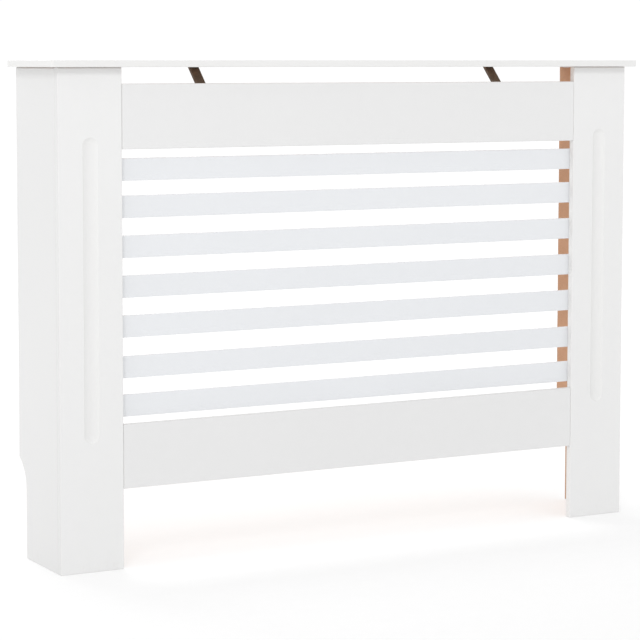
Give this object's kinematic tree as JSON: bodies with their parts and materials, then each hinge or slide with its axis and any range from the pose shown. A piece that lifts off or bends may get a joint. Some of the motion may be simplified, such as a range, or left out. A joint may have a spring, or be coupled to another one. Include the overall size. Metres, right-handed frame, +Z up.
{
  "type": "radiator cover cabinet",
  "caption": "Radiator cover cabinet: slatted front grille between fluted pilasters, side panels cut out for a skirting board, and a thin overhanging top board.",
  "frame": {"origin": "on the floor, under the middle of the top board", "axes": "+Z up, +X towards the right hand end seen from the front, -Y to the front (room side), +Y to the wall"},
  "size_m": [1.12, 0.19, 0.815],
  "materials": {
    "white_lacquer": "satin white lacquer on fibreboard",
    "raw_fibreboard": "unpainted fibreboard, matt",
    "dark_hardboard": "dark brown hardboard, unpainted, matt",
    "beech_dowel": "plain beech, matt",
    "zinc_screw": "bright zinc plate",
    "zinc_bracket": "zinc plated steel strip"
  },
  "bodies": {
    "root": {"top_board": "white_lacquer", "side_panel_left": "white_lacquer", "side_panel_right": "white_lacquer", "pilaster_left": "white_lacquer", "pilaster_right": "white_lacquer", "upper_rail": "white_lacquer", "lower_rail": "white_lacquer", "slat_1": "white_lacquer", "slat_2": "white_lacquer", "slat_3": "white_lacquer", "slat_4": "white_lacquer", "slat_5": "white_lacquer", "slat_6": "white_lacquer", "slat_7": "white_lacquer", "slat_batten_left": "raw_fibreboard", "packer_left_upper": "raw_fibreboard", "packer_left_lower": "raw_fibreboard", "slat_batten_right": "raw_fibreboard", "packer_right_upper": "raw_fibreboard", "packer_right_lower": "raw_fibreboard", "dowel_upper_rail_left_top": "beech_dowel", "dowel_upper_rail_left_bottom": "beech_dowel", "dowel_lower_rail_left_top": "beech_dowel", "dowel_lower_rail_left_bottom": "beech_dowel", "dowel_upper_rail_right_top": "beech_dowel", "dowel_upper_rail_right_bottom": "beech_dowel", "dowel_lower_rail_right_top": "beech_dowel", "dowel_lower_rail_right_bottom": "beech_dowel", "corner_cleat_left": "raw_fibreboard", "top_cleat_left": "raw_fibreboard", "corner_cleat_right": "raw_fibreboard", "top_cleat_right": "raw_fibreboard", "top_stay_left": "dark_hardboard", "top_stay_right": "dark_hardboard", "wall_bracket_left": "zinc_bracket", "screw_bracket_left_rear": "zinc_screw", "screw_bracket_left_front": "zinc_screw", "wall_bracket_right": "zinc_bracket", "screw_bracket_right_rear": "zinc_screw", "screw_bracket_right_front": "zinc_screw", "screw_cleat_to_post_left_upper": "zinc_screw", "screw_cleat_to_post_left_lower": "zinc_screw", "screw_cleat_to_side_left_upper": "zinc_screw", "screw_cleat_to_side_left_lower": "zinc_screw", "screw_cleat_to_top_left_front": "zinc_screw", "screw_cleat_to_top_left_rear": "zinc_screw", "screw_top_cleat_to_side_left": "zinc_screw", "screw_batten_left_upper": "zinc_screw", "screw_batten_left_lower": "zinc_screw", "screw_cleat_to_post_right_upper": "zinc_screw", "screw_cleat_to_post_right_lower": "zinc_screw", "screw_cleat_to_side_right_upper": "zinc_screw", "screw_cleat_to_side_right_lower": "zinc_screw", "screw_cleat_to_top_right_front": "zinc_screw", "screw_cleat_to_top_right_rear": "zinc_screw", "screw_top_cleat_to_side_right": "zinc_screw", "screw_batten_right_upper": "zinc_screw", "screw_batten_right_lower": "zinc_screw"}
  },
  "joints": []
}
